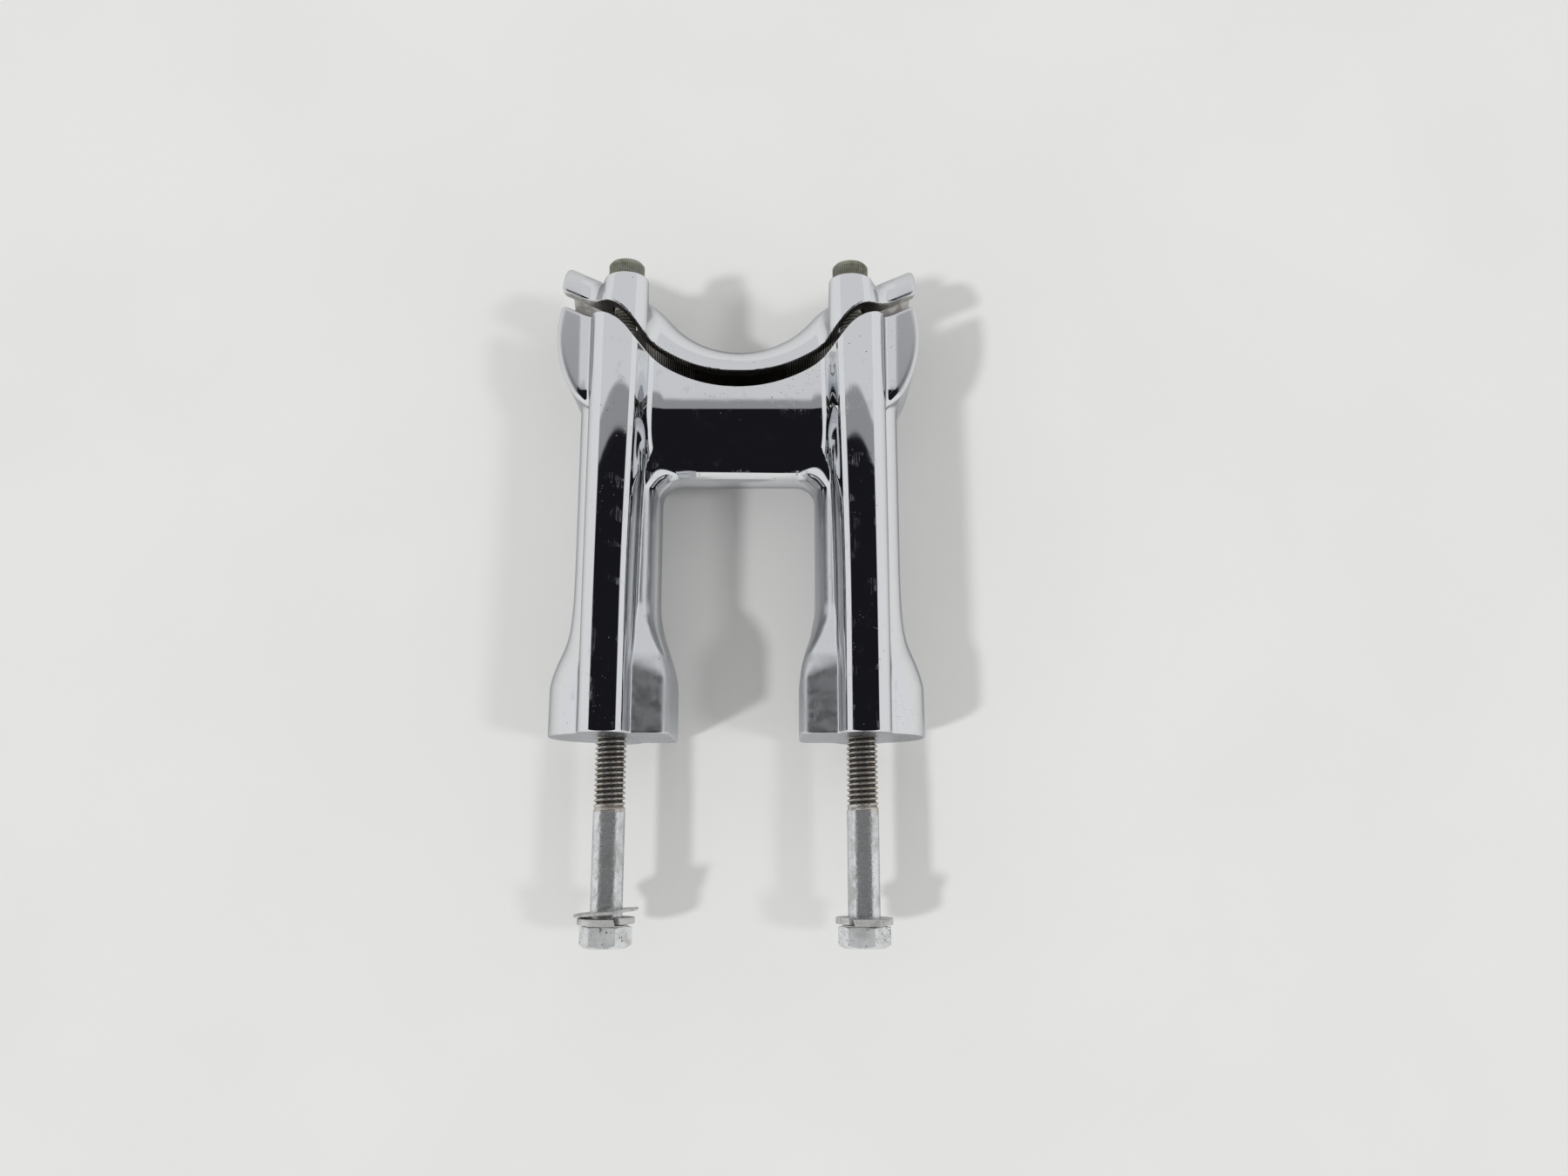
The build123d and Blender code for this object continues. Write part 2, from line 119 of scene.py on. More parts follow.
def path_distance(ax, y):
    """Distance in the plane from the channel's centreline."""
    ang = np.arctan2(ax, BEND_Y + BEND_R - y)
    mid = np.where(ang <= BEND_A, np.abs(np.hypot(ax, y - BEND_Y - BEND_R) - BEND_R), FAR)
    ang = np.arctan2(BACK_CX - ax, y - BACK_CY)
    in_back = (ang <= BEND_A) & (ang >= ARM_A)
    back = np.where(in_back, np.abs(np.hypot(ax - BACK_CX, y - BACK_CY) - BACK_R), FAR)
    c, s = math.cos(ARM_A), math.sin(ARM_A)
    along = (ax - ARM_X) * c + (y - ARM_Y) * s
    arm = np.where(along >= 0, np.abs((y - ARM_Y) * c - (ax - ARM_X) * s), FAR)
    ends = np.minimum(np.hypot(ax - BEND_EX, y - BEND_EY), np.hypot(ax - ARM_X, y - ARM_Y))
    return np.minimum(np.minimum(mid, back), np.minimum(arm, ends))


def circle_through(p, q, r):
    """Centre and radius of the circle through three points."""
    (ax, ay), (bx, by), (cx, cy) = p, q, r
    d = 2 * (ax * (by - cy) + bx * (cy - ay) + cx * (ay - by))
    ux = ((ax**2 + ay**2) * (by - cy) + (bx**2 + by**2) * (cy - ay) + (cx**2 + cy**2) * (ay - by)) / d
    uy = ((ax**2 + ay**2) * (cx - bx) + (bx**2 + by**2) * (ax - cx) + (cx**2 + cy**2) * (bx - ax)) / d
    return ux, uy, math.hypot(ax - ux, ay - uy)


EAR_Y = float(path_y(np.array([ARM_END]))[0][0])
LOBE = circle_through(
    (ARM_END, EAR_Y + 1.8),
    (LEG_X + LOBE_WIDE, LOBE_WIDE_Y),
    (LEG_X + LOBE_FOOT, LOBE_FOOT_Y),
)
FOOT_Y = np.array([-5.0, 17.8, 22.0, 26.0, 30.0, 34.0, 38.0, 42.0, 48.0, 60.0, 300.0])
FOOT_RADII = np.array([22.3, 22.2, 21.2, 19.8, 18.1, 16.6, 15.5, 14.7, 13.9, 13.4, 13.4])


def foot_radius(y):
    """Radius of a foot and of its flare into the leg, smoothed along the height."""
    fine = np.linspace(-5, 70, 301)
    r = np.interp(fine, FOOT_Y, FOOT_RADII)
    kernel = np.hanning(15)
    r = np.convolve(np.pad(r, 7, mode="edge"), kernel / kernel.sum(), mode="valid")
    return np.interp(y, fine, r)


def rounded(a, b, r):
    """Corner of radius r between two faces at distances a and b."""
    a, b = a + r, b + r
    return np.hypot(np.maximum(a, 0), np.maximum(b, 0)) + np.minimum(np.maximum(a, b), 0) - r


def leg(ax, y, az):
    """A leg with its ridges, its round foot and the foot's pad, which narrows into the leg."""
    u = ax - LEG_X
    corner = np.where(u + LEG_IN < 0, LEG_INNER_CORNER, LEG_OUTER_CORNER)
    block = rounded(np.abs(u + LEG_IN) - LEG_HALF_WIDTH, az - LEG_HALF_DEPTH, corner)
    grow = ramp(y, 40, BOSS_TOP)
    radius = RIDGE_R + RIDGE_GROWTH * grow
    ridge = np.hypot(u + RIDGE_GROWTH * grow, np.maximum(az - (CREST - radius), 0)) - radius
    foot = (np.hypot(u, az) - foot_radius(y)) * 0.93
    slant = PAD_SLANT * np.clip((u + 21.0) / 12.0, 0, 1)
    sunk = 3.2 * ramp(y, 38.0, 52.0)
    side = -u - PAD_OUT + 5.9 * ramp(y, PAD_HEIGHT, PAD_END) + sunk
    front = az - PAD_HALF_DEPTH + 6.7 * ramp(y, PAD_HEIGHT + slant, PAD_END - 2.0) + sunk
    pad = rounded(side, front, PAD_CORNER + 4.0 * ramp(y, 26.0, PAD_END))
    foot = fuse(foot, np.maximum(pad, u), 0.6)
    block = fuse(block, foot, 3.0)
    return fuse(block, ridge, 1.3)


def lobe(ax, y, az):
    """The rounded swelling under an arm, and the distance from its outline."""
    cx, cy, r = LOBE
    q = np.hypot(ax - cx, y - cy) - r
    return common(rounded(q, az - LOBE_Z, 3.0), (LOBE_FOOT_Y - 4.0 - y) * 0.8, 6.0), q


def web(ax, y, az):
    """The slightly curved web between the legs, with a rounded lower edge."""
    shoulder = WEB_Y + WEB_NOSE
    v = np.minimum(y - shoulder, 0)
    k0 = np.hypot(v / WEB_NOSE, az / WEB_Z)
    k1 = np.maximum(np.hypot(v / WEB_NOSE**2, az / WEB_Z**2), 1e-4)
    nose = k0 * (k0 - 1) / k1
    flat = np.maximum(az - WEB_Z + WEB_CURVE * (y - shoulder) ** 2, -WEB_Z)
    d = np.where(y < shoulder, nose, flat)
    return np.maximum(d, ax - LEG_X)


def body_field(p):
    """Distance from the riser's surface, negative inside."""
    x, y, z = p[..., 0], p[..., 1], p[..., 2]
    ax, az = np.abs(x), np.abs(z)
    tube = path_distance(ax, y)
    wall, lobe_edge = lobe(ax, y, az)
    shell = common(np.sqrt(tube**2 + az**2) - SHELL_R, lobe_edge, 2.5)
    between = np.minimum(np.minimum(web(ax, y, az), shell), wall)
    fillet = WEB_FILLET + (2.0 - WEB_FILLET) * ramp(ax, LEG_X - 2, LEG_X + 5)
    d = fuse(leg(ax, y, az), between, fillet)
    over = np.where(y > path_y(ax)[0], tube, -tube)
    edge = 0.5 + 1.3 * ramp(ax, 50, 58)
    d = common(d, over, edge)
    d = common(d, BAR_R - np.sqrt(tube**2 + az**2), 0.35)
    d = common(d, -y, 0.8)
    hole = np.hypot(ax - LEG_X, az) - (BOLT_R + 0.1)
    d = common(d, -np.maximum(hole, y - BOLT_HOLE_DEPTH), 0.5)
    hole = np.hypot(ax - SCREW_X, az - SCREW_Z) - (SCREW_R + 0.15)
    return common(d, -np.maximum(hole, SEAT - SCREW_HOLE_DEPTH - y), 0.5)


def cap_underside(ax, y):
    """Distance below the face that the cap turns to the body."""
    py, cos = path_y(ax)
    return (py + MIDDLE_GAP + (END_GAP - MIDDLE_GAP) * ax / ARM_END - y) * cos


def cap_field(p):
    """Distance from the cap's surface with a bar clamped, negative inside."""
    x, y, z = p[..., 0], p[..., 1], p[..., 2]
    ax, az = np.abs(x), np.abs(z)
    tube = np.sqrt(path_distance(ax, y) ** 2 + az**2)
    shell = common(tube - SHELL_R, ax - CAP_END, 2.2)
    foot_y = float(path_y(np.array([SCREW_X]))[0][0]) - SCREW_R
    t = np.clip((y - foot_y) / (BOSS_TOP - foot_y), -0.5, 1)
    bx = BOSS_FOOT_X + (SCREW_X - BOSS_FOOT_X) * t
    bz = (CREST - BOSS_FOOT_R) + (SCREW_Z - CREST + BOSS_FOOT_R) * t
    br = BOSS_FOOT_R + (BOSS_TOP_R - BOSS_FOOT_R) * t
    boss = np.hypot(ax - bx, az - bz) - br
    boss = common(boss, y - BOSS_TOP, 0.7)
    d = fuse(shell, boss, 4.5 + 3.0 * ramp(ax, 42, 50))
    under = cap_underside(ax, y)
    edge = 0.5 + 1.0 * ramp(ax, 50, 58)
    d = common(d, under, edge)
    d = common(d, BAR_R - tube, 0.35)
    screw = np.hypot(ax - SCREW_X, az - SCREW_Z)
    d = common(d, -(screw - (SCREW_R + 0.5)), 0.3)
    return common(d, -np.maximum(screw - (HEAD_R + 0.4), SEAT - y), 0.35)


# ---------------------------------------------------------------- distance field to mesh
def gradient(field, p, e=0.02):
    """Slope of the field at each point, from points e to either side."""
    g = np.empty_like(p)
    for k in range(3):
        q = p.copy()
        q[:, k] += e
        a = field(q)
        q[:, k] -= 2 * e
        g[:, k] = (a - field(q)) / (2 * e)
    return g


def surface(field, lo, hi, h):
    """Vertices and quads of the field's zero surface, each vertex moved onto it."""
    axes = [np.arange(a - 2 * h, b + 2 * h, h) for a, b in zip(lo, hi)]
    shape = tuple(len(a) for a in axes)
    values = np.empty(shape, np.float32)
    gy, gz = np.meshgrid(axes[1], axes[2], indexing="ij")
    for i, x in enumerate(axes[0]):
        values[i] = field(np.stack([np.full_like(gy, x), gy, gz], -1))
    inside = values < 0
    nx, ny, nz = (n - 1 for n in shape)
    total = np.zeros((nx, ny, nz, 3), np.float32)
    count = np.zeros((nx, ny, nz), np.float32)
    for axis in range(3):
        for da in (0, 1):
            for db in (0, 1):
                offs = [da, db]
                offs.insert(axis, 0)
                a = tuple(slice(o, o + n) for o, n in zip(offs, (nx, ny, nz)))
                offs[axis] = 1
                b = tuple(slice(o, o + n) for o, n in zip(offs, (nx, ny, nz)))
                cross = inside[a] != inside[b]
                va, vb = values[a][cross], values[b][cross]
                pos = np.empty((len(va), 3), np.float32)
                base = [da, db]
                base.insert(axis, 0)
                pos[:] = base
                pos[:, axis] = va / (va - vb)
                total[cross] += pos
                count[cross] += 1
    cells = count > 0
    number = np.full((nx, ny, nz), -1, np.int64)
    number[cells] = np.arange(cells.sum())
    ijk = np.argwhere(cells)
    verts = (ijk + total[cells] / count[cells][:, None]) * h + np.array([a[0] for a in axes])
    quads = []
    for axis in range(3):
        o1, o2 = [k for k in range(3) if k != axis]
        a = [slice(1, -1)] * 3
        b = [slice(1, -1)] * 3
        a[axis], b[axis] = slice(0, -1), slice(1, None)
        ia, ib = inside[tuple(a)], inside[tuple(b)]
        at = np.argwhere(ia != ib)
        sign = ia[tuple(at.T)]
        at = at + 1
        at[:, axis] -= 1
        ring = []
        for d1, d2 in ((-1, -1), (0, -1), (0, 0), (-1, 0)):
            c = at.copy()
            c[:, o1] += d1
            c[:, o2] += d2
            ring.append(number[tuple(c.T)])
        ring = np.stack(ring, 1)
        flip = sign if axis != 1 else ~sign
        ring[~flip] = ring[~flip][:, ::-1]
        quads.append(ring)
    quads = np.concatenate(quads)
    for _ in range(4):
        g = gradient(field, verts)
        d = field(verts)
        g2 = np.maximum((g * g).sum(1), 0.25)
        move = -(d / g2)[:, None] * g
        size = np.linalg.norm(move, axis=1)
        move *= np.minimum(1, 0.5 * h / np.maximum(size, 1e-9))[:, None]
        verts = verts + move
    return verts, quads


def body_marks(p):
    """Which points lie in the bar's bore or on the split, and which on a foot's face."""
    ax, y, az = np.abs(p[:, 0]), p[:, 1], np.abs(p[:, 2])
    tube = path_distance(ax, y)
    bore = np.sqrt(tube**2 + az**2) < BAR_R + 2 * MARK
    split = np.abs(np.where(y > path_y(ax)[0], tube, -tube)) < MARK
    return (bore | split).astype(float), (y < MARK).astype(float)


def cap_marks(p):
    """The same for the cap, which has no foot."""
    ax, y, az = np.abs(p[:, 0]), p[:, 1], np.abs(p[:, 2])
    bore = np.sqrt(path_distance(ax, y) ** 2 + az**2) < BAR_R + 2 * MARK
    split = np.abs(cap_underside(ax, y)) < MARK
    return (bore | split).astype(float), np.zeros(len(p))


def hollow_and_edge(field, p, n):
    """How much each point lies in a hollow, and how much on a convex edge, from 0 to 1."""
    hollow = np.clip((2.5 - field(p + n * 2.5)) / 2.5, 0, 1)
    edge = np.clip((field(p - n * 1.2) + 1.2) / 1.2, 0, 1)
    return hollow, edge


def cast_object(name, verts, faces, normals):
    """Object from vertices in metres and quads, with its own normals."""
    me = bpy.data.meshes.new(name)
    faces = np.asarray(faces)
    me.vertices.add(len(verts))
    me.vertices.foreach_set("co", np.ascontiguousarray(verts, np.float32).ravel())
    me.loops.add(faces.size)
    me.loops.foreach_set("vertex_index", faces.astype(np.int32).ravel())
    me.polygons.add(len(faces))
    me.polygons.foreach_set("loop_start", np.arange(0, faces.size, faces.shape[1], dtype=np.int32))
    me.polygons.foreach_set("use_smooth", np.ones(len(faces), bool))
    me.update(calc_edges=True)
    me.validate()
    me.normals_split_custom_set_from_vertices(normals.astype(np.float32).tolist())
    ob = bpy.data.objects.new(name, me)
    bpy.context.scene.collection.objects.link(ob)
    return ob


def add_attribute(ob, name, values):
    a = ob.data.attributes.new(name, "FLOAT", "POINT")
    a.data.foreach_set("value", np.ascontiguousarray(values, np.float32))


def cast_piece(name, field, marks, lo, hi, move):
    """Meshed casting with the attributes that its chrome reads, moved by a turn and a shift."""
    verts, quads = surface(field, lo, hi, STEP)
    raw, face = marks(verts)
    ring = np.hypot(np.abs(verts[:, 0]) - LEG_X, verts[:, 2])
    n = gradient(field, verts)
    n /= np.maximum(np.linalg.norm(n, axis=1), 1e-6)[:, None]
    hollow, edge = hollow_and_edge(field, verts, n)
    turn, shift = move
    verts, n = verts @ turn.T + shift, n @ turn.T
    ob = cast_object(name, to_row(verts), quads, n)
    for word, values in (("hollow", hollow), ("edge", edge), ("raw", raw), ("face", face), ("ring", ring)):
        add_attribute(ob, word, values)
    return ob


def turn_about_z(angle):
    c, s = math.cos(angle), math.sin(angle)
    return np.array([[c, -s, 0], [s, c, 0], [0, 0, 1.0]])


STILL = (np.eye(3), np.zeros(3))
TILT = turn_about_z(-CAP_TILT)
TILT_Y = BOSS_TOP - SHELL_R  # the cap tilts about this height
LOOSE = (TILT, np.array([0, TILT_Y + CAP_RAISED, 0]) - TILT @ np.array([0, TILT_Y, 0]))

riser = cast_piece("riser_casting", body_field, body_marks, (-67.5, -0.5, -CREST), (67.5, 159, CREST), STILL)
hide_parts("riser_body")
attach(riser, "riser")
cap = cast_piece("clamp_cap_casting", cap_field, cap_marks, (-66.5, 128, -CREST), (66.5, 181, CREST), LOOSE)
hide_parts("clamp_cap")
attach(cap, "cap")


# ---------------------------------------------------------------- turned pieces
ROUND, THREAD, HEXAGON, SOCKET, KNURL = range(5)
KNURL_DEPTH = 0.2


def hard_object(name, verts, faces, sharp):
    """Object from vertices in working millimetres, smooth but for edges sharper than an angle."""
    me = bpy.data.meshes.new(name)
    me.from_pydata(to_row(verts).tolist(), [], faces)
    me.polygons.foreach_set("use_smooth", np.ones(len(faces), bool))
    me.set_sharp_from_angle(angle=math.radians(sharp))
    ob = bpy.data.objects.new(name, me)
    bpy.context.scene.collection.objects.link(ob)
    return ob


def lathe(name, rows, centre, count, start, warp, ring=False, sharp=35):
    """Surface round an axis along Y. Each row is a radius, a height and a kind; warp reshapes the kinds."""
    rows = np.asarray(rows, float)
    t = start + np.linspace(0, 2 * np.pi, count, endpoint=False)
    T, R = np.meshgrid(t, rows[:, 0])
    Y = np.repeat(rows[:, 1:2], count, 1)
    kind = np.repeat(rows[:, 2:3], count, 1)
    plain = R
    R, Y = warp(T, R, Y, kind)
    # how deep each point lies in a thread's or a knurl's groove, which the steel reads for painted shade in
    # the roots
    root = np.where(kind == THREAD, (plain - R) / 0.9, np.where(kind == KNURL, (plain - R) / KNURL_DEPTH, 0))
    v = np.stack([centre[0] + R * np.cos(T), centre[1] + Y, centre[2] + R * np.sin(T)], -1).reshape(-1, 3)
    idx = np.arange(len(rows) * count).reshape(len(rows), count)
    a, b = (idx, np.roll(idx, -1, 0)) if ring else (idx[:-1], idx[1:])
    quads = np.stack([a, b, np.roll(b, -1, 1), np.roll(a, -1, 1)], -1).reshape(-1, 4)
    faces = quads.tolist()
    if not ring:
        faces += [idx[0].tolist(), idx[-1][::-1].tolist()]
    ob = hard_object(name, v, faces, sharp)
    add_attribute(ob, "threaded", (kind == THREAD).ravel())
    add_attribute(ob, "root", np.clip(root, 0, 1).ravel())
    return ob


def line(r0, y0, r1, y1, n, kind=ROUND):
    """A lathe's rows along a straight line."""
    t = np.linspace(0, 1, n)
    return [(r0 + (r1 - r0) * k, y0 + (y1 - y0) * k, kind) for k in t]


def tooth(T, Y, pitch):
    """0 on the thread's crest and 1 at its root."""
    phase = (Y / pitch + T / (2 * np.pi)) % 1.0
    return np.clip((np.abs(phase - 0.5) * 2 - 0.14) / 0.72, 0, 1)


def hexagon_radius(T, across, start):
    """Distance of a hexagon's side from its middle."""
    a = (T - start) % (np.pi / 3) - np.pi / 6
    return across / 2 / np.cos(a)


def riser_bolt(name, side, turn):
    """Hex head bolt from its head up to its tip in the foot, the head turned by some degrees."""
    seat = BOLT_IN - BOLT_LEN
    low = seat - HEX_H
    runout = BOLT_IN - BOLT_THREAD
    corner = HEX / 2 / math.cos(math.pi / 6)
    fine = 14
    rows = line(0.02, low + 0.25, 6.2, low + 0.25, 3)
    rows += line(6.5, low, 7.2, low, 3, HEXAGON)
    rows += line(7.3, low + 0.02, corner + 0.1, low + 1.15, 10, HEXAGON)
    rows += line(corner + 0.2, low + 1.3, corner + 0.2, seat - 0.75, 8, HEXAGON)
    rows += line(corner + 0.1, seat - 0.65, 7.6, seat - 0.3, 6, HEXAGON)
    rows += line(7.45, seat - 0.28, 7.4, seat, 2) + line(7.2, seat, BOLT_R + 0.3, seat, 3)
    rows += line(BOLT_R + 0.12, seat + 0.1, BOLT_R, seat + 0.4, 3)
    rows += line(BOLT_R, seat + 1.0, BOLT_R, runout - 3.2, 16)
    rows += line(BOLT_R, runout - 3.0, BOLT_R, BOLT_IN - 0.9, int(31.0 / BOLT_PITCH * fine), THREAD)
    rows += line(BOLT_R - 0.05, BOLT_IN - 0.85, 4.5, BOLT_IN, 4) + [(0.02, BOLT_IN, ROUND)]
    begin = math.radians(90 + turn) + math.pi / 6

    def warp(T, R, Y, kind):
        R = np.where(kind == HEXAGON, np.minimum(R, hexagon_radius(T, HEX - 0.05, begin)), R)
        fade = np.clip((Y - runout + 3.0) / 3.0, 0, 1) * np.clip((BOLT_IN - 0.3 - Y) / 1.2, 0, 1)
        neck = 0.13 * np.clip((Y - runout + 3.0) / 1.6, 0, 1)
        cut = 1.02 * tooth(T, Y, BOLT_PITCH) * fade
        return np.where(kind == THREAD, R - 0.3 * neck - cut, R), Y

    count = 120
    ob = lathe(name, rows, (side * LEG_X, 0, 0), count, begin, warp, sharp=30)
    add_attribute(ob, "head", np.repeat([r[1] < seat - 0.1 for r in rows], count))
    return ob


def cap_screw(name, node):
    """Socket head screw with a knurled head, filling the box of its CAD node."""
    lo, hi = (np.array(v) * 1000 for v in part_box(node))
    cx, cz = (lo[0] + hi[0]) / 2, (lo[2] + hi[2]) / 2 - CREST
    top = hi[1] - DY
    tip, seat = lo[1] - DY, top - HEAD_H
    begin = 0.3
    fine = 10
    count = KNURLS * 6
    rows = line(0.02, tip, SCREW_R - 0.7, tip, 2) + line(SCREW_R - 0.6, tip + 0.1, SCREW_R, tip + 0.7, 3)
    rows += line(SCREW_R, tip + 0.75, SCREW_R, seat - 10.0, int(29.0 / SCREW_PITCH * fine), THREAD)
    rows += line(SCREW_R, seat - 9.9, SCREW_R, seat - 0.5, 4)
    rows += line(SCREW_R + 0.1, seat - 0.2, SCREW_R + 0.4, seat, 2)
    rows += line(SCREW_R + 0.6, seat, HEAD_R - 0.35, seat, 2)
    rows += line(HEAD_R - 0.15, seat + 0.12, HEAD_R - 0.05, seat + 0.4, 3)
    rows += line(HEAD_R, seat + 0.5, HEAD_R, top - 1.1, 8, KNURL)
    rows += line(HEAD_R - 0.06, top - 1.0, HEAD_R - 0.75, top - 0.12, 6)
    rows += line(HEAD_R - 0.95, top, 3.75, top, 3) + line(3.6, top - 0.03, 3.3, top - 0.35, 3, SOCKET)
    rows += line(3.6, top - 0.4, 3.6, top - 4.0, 6, SOCKET)
    rows += [(2.2, top - 4.1, ROUND), (0.02, top - 4.9, ROUND)]

    def warp(T, R, Y, kind):
        fade = np.clip((Y - tip - 0.4) / 1.0, 0, 1) * np.clip((seat - 10.2 - Y) / 1.2, 0, 1)
        cut = 0.72 * tooth(T, Y, SCREW_PITCH) * fade
        R = np.where(kind == THREAD, R - cut, R)
        wave = np.abs((T * KNURLS / (2 * np.pi)) % 1.0 - 0.5) * 2
        ends = np.clip((Y - seat - 0.4) / 0.5, 0, 1) * np.clip((top - 1.0 - Y) / 0.5, 0, 1)
        R = np.where(kind == KNURL, R - KNURL_DEPTH * wave * ends, R)
        return np.where(kind == SOCKET, np.minimum(R, hexagon_radius(T, KEY, begin)), R), Y

    ob = lathe(name, rows, (cx, 0, cz), count, begin, warp)
    add_attribute(ob, "head", np.repeat([r[1] > seat for r in rows], count))
    return ob


def lock_washer(name, side):
    """Spring washer, one turn of square wire with its cut ends sprung apart."""
    low = BOLT_IN - BOLT_LEN
    slot = math.radians(120 if side > 0 else 60)
    inner, thick, n, m = BOLT_R + WASHER_PLAY, LOCK_T - LOCK_RISE, 96, 6
    half = LOCK_SLOT / 2 / ((inner + LOCK_R) / 2)
    outline = []
    w, r = LOCK_R - inner, 0.35
    for cx, cy, a0 in ((w - r, r, -90), (w - r, thick - r, 0), (r, thick - r, 90), (r, r, 180)):
        for k in range(m):
            a = math.radians(a0 + 90 * k / (m - 1))
            outline.append((cx + r * math.cos(a), cy + r * math.sin(a)))
    outline = np.array(outline)
    verts = []
    for i in range(n + 1):
        f = i / n
        a = slot + half + (2 * math.pi - 2 * half) * f
        rise = LOCK_RISE * f if side < 0 else LOCK_RISE * (1 - f)
        lean = 0.6 * (outline[:, 1] / thick - 0.5) / LOCK_R * (1 if f in (0, 1) else 0)
        rr = inner + outline[:, 0]
        verts.append(np.stack([side * LEG_X + rr * np.cos(a + lean), low + rise + outline[:, 1],
                               rr * np.sin(a + lean)], -1))
    k = len(outline)
    verts = np.concatenate(verts)
    idx = np.arange((n + 1) * k).reshape(n + 1, k)
    a, b = idx[:-1], idx[1:]
    faces = np.stack([a, np.roll(a, -1, 1), np.roll(b, -1, 1), b], -1).reshape(-1, 4).tolist()
    faces += [idx[0][::-1].tolist(), idx[-1].tolist()]
    return hard_object(name, verts, faces, 40)


def flat_washer(name):
    """Thin washer, a little buckled, hanging askew on the left bolt."""
    lo, hi = (np.array(v) * 1000 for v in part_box("flat_washer_left"))
    middle = (lo + hi) / 2 - [0, DY, CREST]
    inner = BOLT_R + WASHER_PLAY
    rows = line(inner, 0.05, FLAT_R - 0.3, 0, 5)
    rows += line(FLAT_R - 0.08, 0.1, FLAT_R - 0.08, FLAT_T - 0.15, 4)
    rows += line(FLAT_R - 0.3, FLAT_T - 0.03, inner + 0.2, FLAT_T - 0.03, 5)
    rows += line(inner, FLAT_T - 0.15, inner, 0.2, 3)

    def warp(T, R, Y, kind):
        wave = 0.12 * np.sin(T * 3 + 0.6) + 0.08 * np.sin(T * 7 + 2)
        Y = Y - FLAT_T / 2 + wave * (R / FLAT_R) ** 2
        return R + 0.04 * np.sin(T * 9 + 1), Y

    ob = lathe(name, rows, (0, 0, 0), 144, 0, warp, ring=True)
    co = np.empty(len(ob.data.vertices) * 3)
    ob.data.vertices.foreach_get("co", co)
    co = co.reshape(-1, 3) * 1000 - [0, DY, CREST]
    co = to_row(co @ turn_about_z(FLAT_TILT).T + middle)
    ob.data.vertices.foreach_set("co", co.ravel().astype(np.float32))
    ob.data.update()
    return ob


hardware = []
for word, side, turn in (("left", -1, 1.0), ("right", 1, 10.5)):
    bolt = riser_bolt(f"bolt_{word}_threaded", side, turn)
    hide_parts(f"riser_bolt_{word}")
    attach(bolt, f"{word}_bolt")
    ring = lock_washer(f"spring_washer_{word}", side)
    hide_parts(f"lock_washer_{word}")
    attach(ring, f"{word}_washers")
    hardware += [bolt, ring]
    for face in ("front", "rear"):
        screw = cap_screw(f"screw_{face}_{word}_knurled", f"cap_screw_{face}_{word}")
        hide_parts(f"cap_screw_{face}_{word}")
        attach(screw, f"screw_{face}_{word}")
        hardware.append(screw)
thin = flat_washer("thin_washer_left")
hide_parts("flat_washer_left")
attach(thin, "left_washers")
hardware.append(thin)


# ---------------------------------------------------------------- materials
TICK = 0.0009  # metres from one tick in the bore to the next
RING_RATE = 3.4  # turning marks on the feet, radians for each millimetre outwards


class Nodes:
    """Short names for building a node tree."""

    def __init__(self, tree):
        self.tree = tree

    def add(self, kind, **values):
        node = self.tree.nodes.new(kind)
        for key, value in values.items():
            if hasattr(node, key):
                setattr(node, key, value)
        return node

    def link(self, a, b):
        self.tree.links.new(a, b)

    def value(self, socket, v):
        """Set a socket to a number or colour, or link it to an output."""
        if isinstance(v, (int, float, tuple)):
            socket.default_value = v
        else:
            self.link(v, socket)

    def math(self, op, a, b=0.0, c=0.0):
        node = self.add("ShaderNodeMath", operation=op)
        for i, v in enumerate((a, b, c)):
            self.value(node.inputs[i], v)
        return node.outputs[0]

    def times(self, a, b):
        return self.math("MULTIPLY", a, b)

    def plus(self, *terms):
        total = terms[0]
        for term in terms[1:]:
            total = self.math("ADD", total, term)
        return total

    def most(self, a, b):
        return self.math("MAXIMUM", a, b)

    def ramp(self, v, a, b, lo=0.0, hi=1.0):
        """lo where v is a and hi where it is b, with a smooth start and end."""
        node = self.add("ShaderNodeMapRange", interpolation_type="SMOOTHSTEP")
        for name, x in (("Value", v), ("From Min", a), ("From Max", b), ("To Min", lo), ("To Max", hi)):
            self.value(node.inputs[name], x)
        return node.outputs[0]

    def noise(self, vec, scale, detail=2.0, rough=0.5, warp=0.0):
        node = self.add("ShaderNodeTexNoise")
        self.link(vec, node.inputs["Vector"])
        for name, x in (("Scale", scale), ("Detail", detail), ("Roughness", rough), ("Distortion", warp)):
            node.inputs[name].default_value = x
        return node.outputs["Fac"]

    def dots(self, vec, scale, outside, inside):
        """Round dots scattered evenly, from 0 outside that radius to 1 inside."""
        node = self.add("ShaderNodeTexVoronoi")
        self.link(vec, node.inputs["Vector"])
        node.inputs["Scale"].default_value = scale
        return self.ramp(node.outputs["Distance"], outside, inside)

    def mix(self, f, a, b):
        node = self.add("ShaderNodeMix", data_type="RGBA")
        self.value(node.inputs[0], f)
        self.value(node.inputs[6], a)
        self.value(node.inputs[7], b)
        return node.outputs[2]

    def stretch(self, vec, scale, turn=(0, 0, 0)):
        node = self.add("ShaderNodeMapping")
        self.link(vec, node.inputs["Vector"])
        node.inputs["Scale"].default_value = scale
        node.inputs["Rotation"].default_value = turn
        return node.outputs[0]

    def attribute(self, name):
        return self.add("ShaderNodeAttribute", attribute_name=name).outputs["Fac"]

    def bump(self, height, strength, distance, normal=None):
        node = self.add("ShaderNodeBump")
        node.inputs["Strength"].default_value = strength
        node.inputs["Distance"].default_value = distance
        self.link(height, node.inputs["Height"])
        if normal is not None:
            self.link(normal, node.inputs["Normal"])
        return node.outputs[0]


